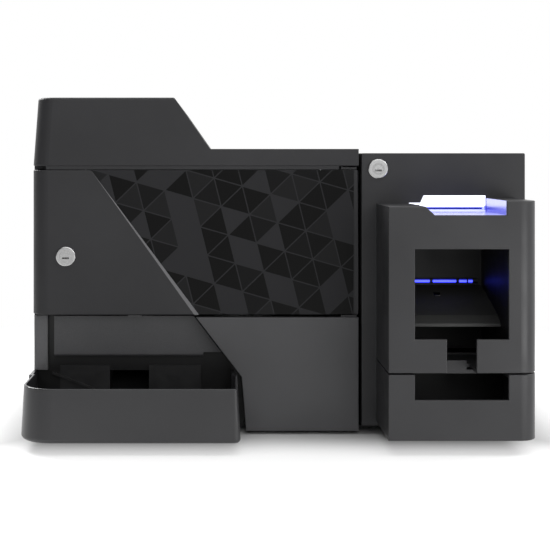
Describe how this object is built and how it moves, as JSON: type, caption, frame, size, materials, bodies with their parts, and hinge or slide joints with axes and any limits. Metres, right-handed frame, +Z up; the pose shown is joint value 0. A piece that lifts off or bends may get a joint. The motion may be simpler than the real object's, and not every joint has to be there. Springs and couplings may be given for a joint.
{
  "type": "automatic cash drawer",
  "caption": "Counter-top automatic cash drawer: coin recycler with hood, locked front door and coin tray, beside a banknote recycler with a lit inlet, note bay and cassette.",
  "frame": {"origin": "on the table, under the middle of the whole unit's box", "axes": "+X right seen from the front, +Y to the rear, +Z up"},
  "size_m": [0.505, 0.54, 0.3446],
  "materials": {
    "shell_plastic": "fine moulded texture",
    "panel_plastic": "fine moulded texture",
    "bezel_plastic": "satin moulded",
    "print_panel": "printed dark mosaic",
    "case_steel": "dark powder coat",
    "inner_plastic": "plain black moulding",
    "zinc_steel": "zinc plated",
    "supply_case": "plain sheet",
    "lock_chrome": "bright plated",
    "black_rubber": "plain",
    "circuit_board": "solder mask",
    "white_light": "lit diffuser",
    "blue_light": "lit blue diffuser"
  },
  "bodies": {
    "frame": {"left_post": "shell_plastic", "lower_front_panel": "panel_plastic", "outlet_panel": "panel_plastic", "coin_tray": "bezel_plastic", "left_side_panel": "case_steel", "centre_wall": "case_steel", "rear_panel": "case_steel", "base_plate": "case_steel", "outlet_plate": "inner_plastic", "coin_chute": "inner_plastic", "hopper_front_left": "inner_plastic", "hopper_rear_left": "inner_plastic", "hopper_front_right": "inner_plastic", "hopper_rear_right": "inner_plastic", "feed_bowl": "inner_plastic", "data_ports": "inner_plastic", "power_inlet": "inner_plastic", "coin_validator": "inner_plastic", "belt_channel": "zinc_steel", "door_pivots": "zinc_steel", "hood_hinge_pins": "zinc_steel", "note_rails": "zinc_steel", "rear_screws": "zinc_steel", "sort_deck": "zinc_steel", "feed_motor": "zinc_steel", "power_supply": "supply_case", "rubber_feet": "black_rubber", "payout_belt": "black_rubber", "control_board": "circuit_board"},
    "coin_door": {"door_cover": "shell_plastic", "pattern_panel": "print_panel", "coin_lock_barrel": "lock_chrome"},
    "coin_lock": {"coin_lock_plug": "lock_chrome", "coin_lock_cam": "zinc_steel"},
    "hood": {"hood_shell": "shell_plastic", "inlet_funnel": "inner_plastic"},
    "feed_disc_body": {"feed_disc": "zinc_steel"},
    "belt_drive": {"belt_drive_roller": "black_rubber"},
    "belt_idler": {"belt_idler_roller": "black_rubber"},
    "note_module": {"note_front_panel": "panel_plastic", "note_left_side": "case_steel", "note_right_side": "case_steel", "note_top": "case_steel", "note_floor": "case_steel", "note_rear": "case_steel", "note_bezel": "bezel_plastic", "inlet_guide": "blue_light", "slot_light": "white_light", "note_bay": "inner_plastic", "note_plate": "inner_plastic", "led_bar": "blue_light", "note_lock_barrel": "lock_chrome", "note_validator": "inner_plastic"},
    "note_lock": {"note_lock_plug": "lock_chrome", "note_lock_cam": "zinc_steel"},
    "cassette": {"cassette_box": "inner_plastic", "cassette_front": "bezel_plastic"},
    "note_feed": {"note_feed_roller": "black_rubber"},
    "note_press": {"note_press_roller": "black_rubber"}
  },
  "joints": [
    {"name": "coin_door_hinge", "type": "hinge", "parent": "frame", "child": "coin_door", "pos_m": [0.0735, -0.1705, 0.196], "axis": [0, 0, 1], "range_deg": [0, 90]},
    {"name": "coin_lock_turn", "type": "hinge", "parent": "coin_door", "child": "coin_lock", "pos_m": [-0.2169, -0.18, 0.182], "axis": [0, 1, 0], "range_deg": [-90, 0]},
    {"name": "hood_lift", "type": "hinge", "parent": "frame", "child": "hood", "pos_m": [-0.0825, 0.257, 0.279], "axis": [-1, 0, 0], "range_deg": [0, 55]},
    {"name": "feed_disc_spin", "type": "hinge", "parent": "frame", "child": "feed_disc_body", "pos_m": [0.0065, -0.04, 0.2], "axis": [0, 0, 1], "continuous": true},
    {"name": "belt_drive_spin", "type": "hinge", "parent": "frame", "child": "belt_drive", "pos_m": [-0.1535, -0.1, 0.072], "axis": [1, 0, 0], "continuous": true},
    {"name": "belt_idler_spin", "type": "hinge", "parent": "frame", "child": "belt_idler", "pos_m": [-0.1535, 0.235, 0.072], "axis": [1, 0, 0], "continuous": true},
    {"name": "note_module_slide", "type": "slide", "parent": "frame", "child": "note_module", "axis": [0, -1, 0], "range_m": [0, 0.25]},
    {"name": "note_lock_turn", "type": "hinge", "parent": "note_module", "child": "note_lock", "pos_m": [0.1022, -0.18, 0.2715], "axis": [0, -1, 0], "range_deg": [-90, 0]},
    {"name": "cassette_slide", "type": "slide", "parent": "note_module", "child": "cassette", "axis": [0, -1, 0], "range_m": [0, 0.2]},
    {"name": "note_feed_spin", "type": "hinge", "parent": "note_module", "child": "note_feed", "pos_m": [0.1695, -0.127, 0.22305], "axis": [1, 0, 0], "continuous": true},
    {"name": "note_press_spin", "type": "hinge", "parent": "note_module", "child": "note_press", "pos_m": [0.1695, -0.127, 0.24135], "axis": [1, 0, 0], "continuous": true}
  ],
  "couplings": [
    {"joint": "belt_idler_spin", "follows": "belt_drive_spin", "ratio": 1},
    {"joint": "note_press_spin", "follows": "note_feed_spin", "ratio": -1}
  ]
}
